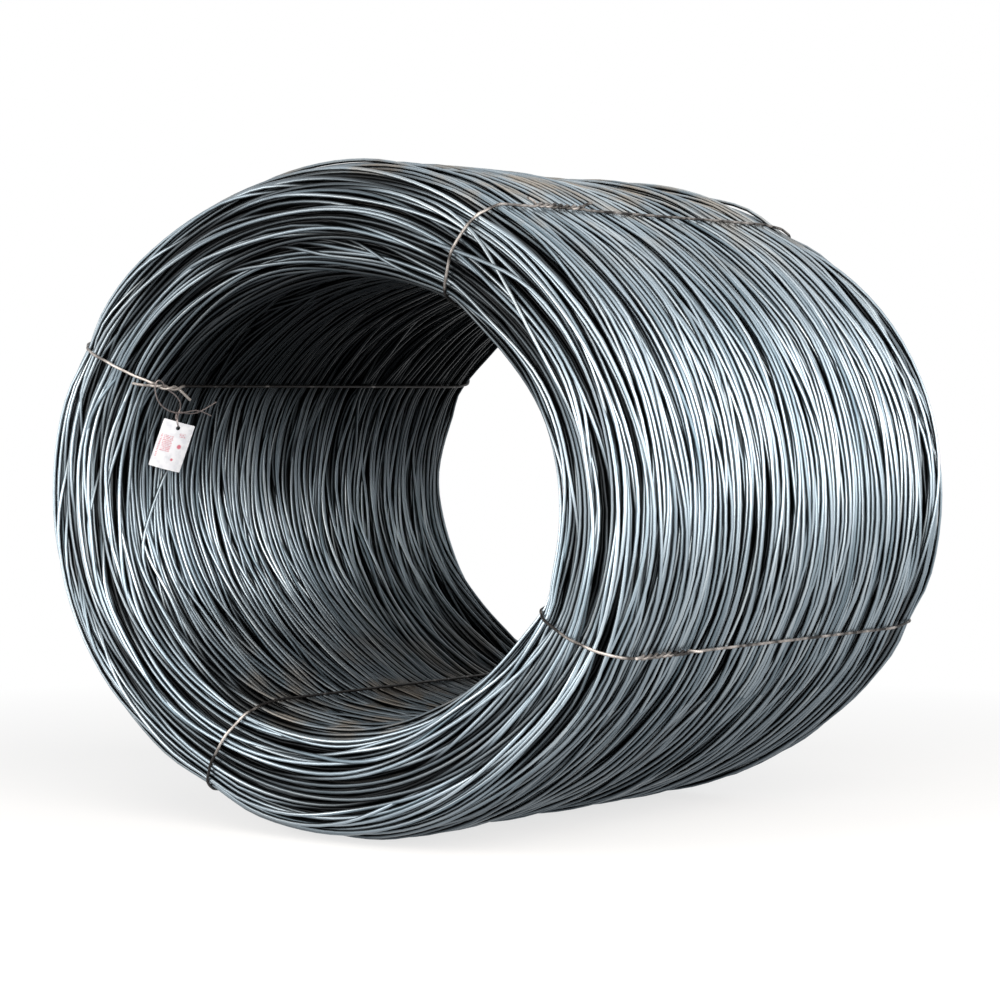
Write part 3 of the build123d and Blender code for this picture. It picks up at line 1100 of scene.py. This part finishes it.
@dataclass
class CardTag:
    """The tag: a card with rounded corners and a punched hole, a little curled."""

    finish: bpy.types.Material
    width: float = 60 * MM
    height: float = 90 * MM
    thickness: float = 0.8 * MM
    corner: float = 2 * MM
    hole: float = 8 * MM
    hole_up: float = 34 * MM
    curl: float = math.radians(22)
    cuts: tuple[int, int] = (12, 10)
    crease: float = math.radians(40)
    middle: tuple[float, float, float] = (-0.438303, -0.375, 0.663798)
    across: tuple[float, float, float] = (0.4405, 0.8613, -0.2533)
    face: tuple[float, float, float] = (0.8235, -0.5, -0.2681)

    def build(self) -> bpy.types.Object:
        """Models the card flat, curls it, and puts it where the CAD tag hangs.

        Returns:
            The piece.
        """
        bpy.ops.object.select_all(action="DESELECT")
        bpy.ops.mesh.primitive_plane_add(size=1)
        card = bpy.context.object
        card.name = card.data.name = "tag_card"
        card.data.uv_layers[0].name = "card"
        card.scale = (self.width, self.height, 1)
        bpy.ops.object.transform_apply(location=False, rotation=False, scale=True)
        bpy.ops.object.mode_set(mode="EDIT")
        bpy.ops.mesh.select_all(action="SELECT")
        bpy.ops.mesh.bevel(offset=self.corner, segments=4, affect="VERTICES")
        for side, cuts, normal in zip((self.width, self.height), self.cuts, (Vector((1, 0, 0)), Vector((0, 1, 0)))):
            for step in range(1, cuts):
                bpy.ops.mesh.select_all(action="SELECT")
                bpy.ops.mesh.bisect(plane_co=normal * ((step / cuts - 0.5) * side), plane_no=normal)
        bpy.ops.object.mode_set(mode="OBJECT")
        bpy.ops.object.select_all(action="DESELECT")
        bpy.ops.mesh.primitive_cylinder_add(vertices=24, radius=self.hole / 2, depth=10 * MM,
                                            location=(0, self.hole_up, 0))
        punch = bpy.context.object
        select_only(card)
        walls = card.modifiers.new("thickness", "SOLIDIFY")
        walls.thickness, walls.offset = self.thickness, 0
        punched = card.modifiers.new("hole", "BOOLEAN")
        punched.operation, punched.object, punched.solver = "DIFFERENCE", punch, "EXACT"
        for modifier in ("thickness", "hole"):
            bpy.ops.object.modifier_apply(modifier=modifier)
        bpy.data.objects.remove(punch, do_unlink=True)
        card.rotation_euler.x = math.pi / 2
        bpy.ops.object.transform_apply(location=False, rotation=True, scale=False)
        curled = card.modifiers.new("curl", "SIMPLE_DEFORM")
        curled.deform_method, curled.deform_axis, curled.angle = "BEND", "Z", self.curl
        bpy.ops.object.modifier_apply(modifier="curl")
        across, face = Vector(self.across).normalized(), Vector(self.face).normalized()
        turned = Matrix((across, -face, face.cross(across))).transposed().to_4x4()
        card.data.transform(Matrix.Translation(self.middle) @ turned)
        bpy.ops.object.shade_smooth_by_angle(angle=self.crease)
        card.data.materials.clear()
        card.data.materials.append(self.finish)
        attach(card, "root")
        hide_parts("tag")
        LOG.info("%s: %d faces", card.name, len(card.data.polygons))
        return card


@dataclass
class TagWire:
    """The thin wire: looped over the left tie, through the tag's hole, its two ends wound together."""

    finish: bpy.types.Material
    wire: float = 2.6 * MM
    route: tuple = ((-434, -279, 717), (-426, -315, 728), (-426, -341, 726), (-430, -363, 721), (-428, -395, 726),
                    (-423, -423, 739), (-416, -439, 757), (-408, -448, 771), (-400, -451, 781), (-401, -437, 780),
                    (-407, -424, 767), (-407, -407, 760), (-414, -381, 748), (-425, -365, 733), (-432, -366, 721),
                    (-420, -380, 710), (-423, -375, 700), (-428, -370, 696), (-429, -372, 705), (-434, -371, 721),
                    (-430, -363, 726), (-433, -335, 719), (-427, -307, 726), (-418, -282, 742))

    def build(self) -> bpy.types.Object:
        """Builds the wire along its route.

        Returns:
            The piece.
        """
        piece = wire_along("tag_thin_wire", np.array(self.route) * MM, self.wire, 8)
        piece.data.materials.append(self.finish)
        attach(piece, "root")
        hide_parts("tag_wire")
        LOG.info("%s: %d faces", piece.name, len(piece.data.polygons))
        return piece


@dataclass(frozen=True)
class Studio:
    """Pale floor, soft lamps and the camera at the photograph's angle."""

    azimuth: float = 38.41
    elevation: float = 1.95
    distance: float = 5.3933
    lens: float = 107.93
    sensor: float = 36.0
    shift: tuple[float, float] = (0.00608, -0.00629)
    camera_aim: float = 0.57725
    lamp_aim: float = 0.577
    lamp_light: str = "fff7ee"
    sky_light: str = "d4e2ee"
    sky_strength: float = 0.24
    floor_size: float = 60.0
    floor_tone: tuple[float, float, float, float] = (0.3, 0.3, 0.3, 1)
    floor_bounce: tuple[float, float, float, float] = (0.5, 0.5, 0.5, 1)
    floor_glow: float = 0.72
    floor_fade: tuple[float, float] = (1.2, 2.6)

    def world(self) -> None:
        """Makes the surroundings: white to the camera and in reflections, softer as light."""
        world = bpy.data.worlds.new("studio")
        bpy.context.scene.world = world
        world.use_nodes = True
        tree = world.node_tree
        tree.nodes.clear()
        path = add_node(tree, "LightPath").outputs
        seen = add_node(tree, "Math", {0: path["Is Camera Ray"], 1: path["Is Glossy Ray"]}, operation="MAXIMUM")
        seen = add_node(tree, "Math", {0: seen.outputs[0], 1: path["Is Transmission Ray"]}, operation="MAXIMUM")
        soft = add_node(tree, "Background", {"Color": srgb(self.sky_light), "Strength": self.sky_strength})
        white = add_node(tree, "Background", {"Color": WHITE, "Strength": 1.0})
        both = add_node(tree, "MixShader", {0: seen.outputs[0], 1: soft.outputs[0], 2: white.outputs[0]})
        add_node(tree, "OutputWorld", {"Surface": both.outputs[0]})

    def floor(self) -> None:
        """Makes the pale floor, which fades to white away from the coil."""
        bpy.ops.object.select_all(action="DESELECT")
        bpy.ops.mesh.primitive_plane_add(size=self.floor_size, location=(0, 0, 0))
        floor = bpy.context.object
        floor.name = "floor"
        material, tree = new_material("pale_floor")
        place = add_node(tree, "TexCoord").outputs["Object"]
        far = add_node(tree, "VectorMath", {0: place}, operation="LENGTH").outputs["Value"]
        fade = add_node(tree, "MapRange", {"Value": far, "From Min": self.floor_fade[0],
                                           "From Max": self.floor_fade[1]}).outputs[0]
        path = add_node(tree, "LightPath").outputs
        seen = add_node(tree, "Math", {0: path["Is Camera Ray"], 1: path["Is Glossy Ray"]}, operation="MAXIMUM")
        base = add_node(tree, "BsdfDiffuse", {"Color": self.floor_tone})
        glow = add_node(tree, "Emission", {"Color": WHITE, "Strength": self.floor_glow})
        pair = add_node(tree, "AddShader", {0: base.outputs[0], 1: glow.outputs[0]})
        white = add_node(tree, "Emission", {"Color": WHITE, "Strength": 1.0})
        faded = add_node(tree, "MixShader", {0: fade, 1: pair.outputs[0], 2: white.outputs[0]})
        plain = add_node(tree, "BsdfDiffuse", {"Color": self.floor_bounce})
        both = add_node(tree, "MixShader", {0: seen.outputs[0], 1: plain.outputs[0], 2: faded.outputs[0]})
        add_node(tree, "OutputMaterial", {"Surface": both.outputs[0]})
        floor.data.materials.append(material)

    def aim(self, thing: bpy.types.Object, azimuth: float, elevation: float, distance: float,
            height: float) -> None:
        """Puts a lamp or the camera somewhere round the coil, facing it.

        Args:
            thing: The lamp or the camera.
            azimuth: Degrees round the coil from the front towards the right.
            elevation: Degrees above the horizon.
            distance: Metres from the coil's middle.
            height: The height of the place that it faces.
        """
        bpy.context.collection.objects.link(thing)
        around, above = math.radians(azimuth), math.radians(elevation)
        back = Vector((math.sin(around) * math.cos(above), -math.cos(around) * math.cos(above), math.sin(above)))
        thing.location = Vector((0, 0, height)) + back * distance
        thing.rotation_euler = (-back).to_track_quat("-Z", "Y").to_euler()

    def lamp(self, name: str, azimuth: float, elevation: float, distance: float, size: tuple[float, float],
             power: float) -> None:
        """Adds one soft lamp that faces the coil.

        Args:
            name: The lamp's name.
            azimuth: Degrees round the coil from the front towards the right.
            elevation: Degrees above the horizon.
            distance: Metres from the coil's middle.
            size: Width and height.
            power: Watts.
        """
        light = bpy.data.lights.new(name, "AREA")
        light.shape = "RECTANGLE"
        light.size, light.size_y = size
        light.energy = power
        light.color = srgb(self.lamp_light)[:3]
        self.aim(bpy.data.objects.new(name, light), azimuth, elevation, distance, self.lamp_aim)

    def camera(self) -> None:
        """Makes the camera."""
        data = bpy.data.cameras.new("camera")
        data.lens, data.sensor_width = self.lens, self.sensor
        data.shift_x, data.shift_y = self.shift
        camera = bpy.data.objects.new("camera", data)
        self.aim(camera, self.azimuth, self.elevation, self.distance, self.camera_aim)
        bpy.context.scene.camera = camera

    def build(self) -> None:
        """Sets the whole studio."""
        self.camera()
        self.world()
        self.floor()
        self.lamp("key", 50, 19, 4.2, (4.4, 3.6), 270)
        self.lamp("front", -20, 7, 4.6, (3.4, 3.0), 210)
        self.lamp("side", 100, 17, 4.2, (2.4, 2.6), 90)
        self.lamp("sky", 10, 75, 3.6, (3.0, 3.0), 28)
        bpy.context.scene.view_settings.view_transform = "Standard"


def main() -> None:
    """Builds the studio and every piece in order."""
    logging.basicConfig(level=logging.INFO, format="%(name)s: %(message)s")
    _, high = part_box("rod_coil")
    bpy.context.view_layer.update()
    Studio().build()
    oval = Oval(high[0], high[2] / 2)
    wall = Wall(high[1])
    outer_edge, bore_edge = wall.knots()[1, 0], wall.knots()[4, 0]
    annealed = DullSteel("black_annealed_wire", "1d1b1b", "b4afac").make()
    # Each tie's table of rows holds wear and painted light: lighter near the knot and over the front end, dark as
    # painted shade elsewhere.
    ties = [
        TieWire("tie_wire_top", 63.0, 62.0, outer_edge - 160 * MM, annealed,
                ((-101, 0.4), (75, 0.45), (190, 0.6), (330, 0.5), (380, 0.0), (1280, 0.0), (1380, 0.35),
                 (2010, 0.4), (2165, 0.4), (2185, 1.0))),
        TieWire("tie_wire_left", 140.3, 147.5, bore_edge - 14 * MM, annealed,
                ((-60, 0.9), (24, 0.8), (60, 0.0), (1850, 0.0), (1912, 0.3), (1982, 0.6), (2012, 1.0)),
                half_turns=3, hook=11 * MM, rise=14 * MM),
        TieWire("tie_wire_bottom", 251.5, 247.0, outer_edge - 105 * MM, annealed,
                ((-101, 0.1), (200, 0.0), (228, 0.5), (255, 1.0), (290, 1.0), (310, 0.05)), rise=2 * MM),
        TieWire("tie_wire_right", 329.3, 332.3, outer_edge - 80 * MM, annealed,
                ((-101, 1.0), (-70, 0.9), (-50, 0.3), (50, 0.4), (75, 0.55), (125, 0.85), (160, 0.45),
                 (220, 0.05), (1200, 0.0), (1300, 0.35), (2000, 0.45), (2160, 0.3), (2180, 0.9)))]
    skin = Skin(oval, wall, [math.radians(tie.outer_angle) for tie in ties])
    coil = RodCoil(skin, MillScale().make(), ties)
    stations = coil.build()
    for tie in ties:
        tie.build(coil, stations)
    CardTag(CoatedCard().make()).build()
    TagWire(DullSteel("thin_annealed_wire", "8b8383", "b9b1b1").make()).build()


if __name__ == "__main__":
    main()
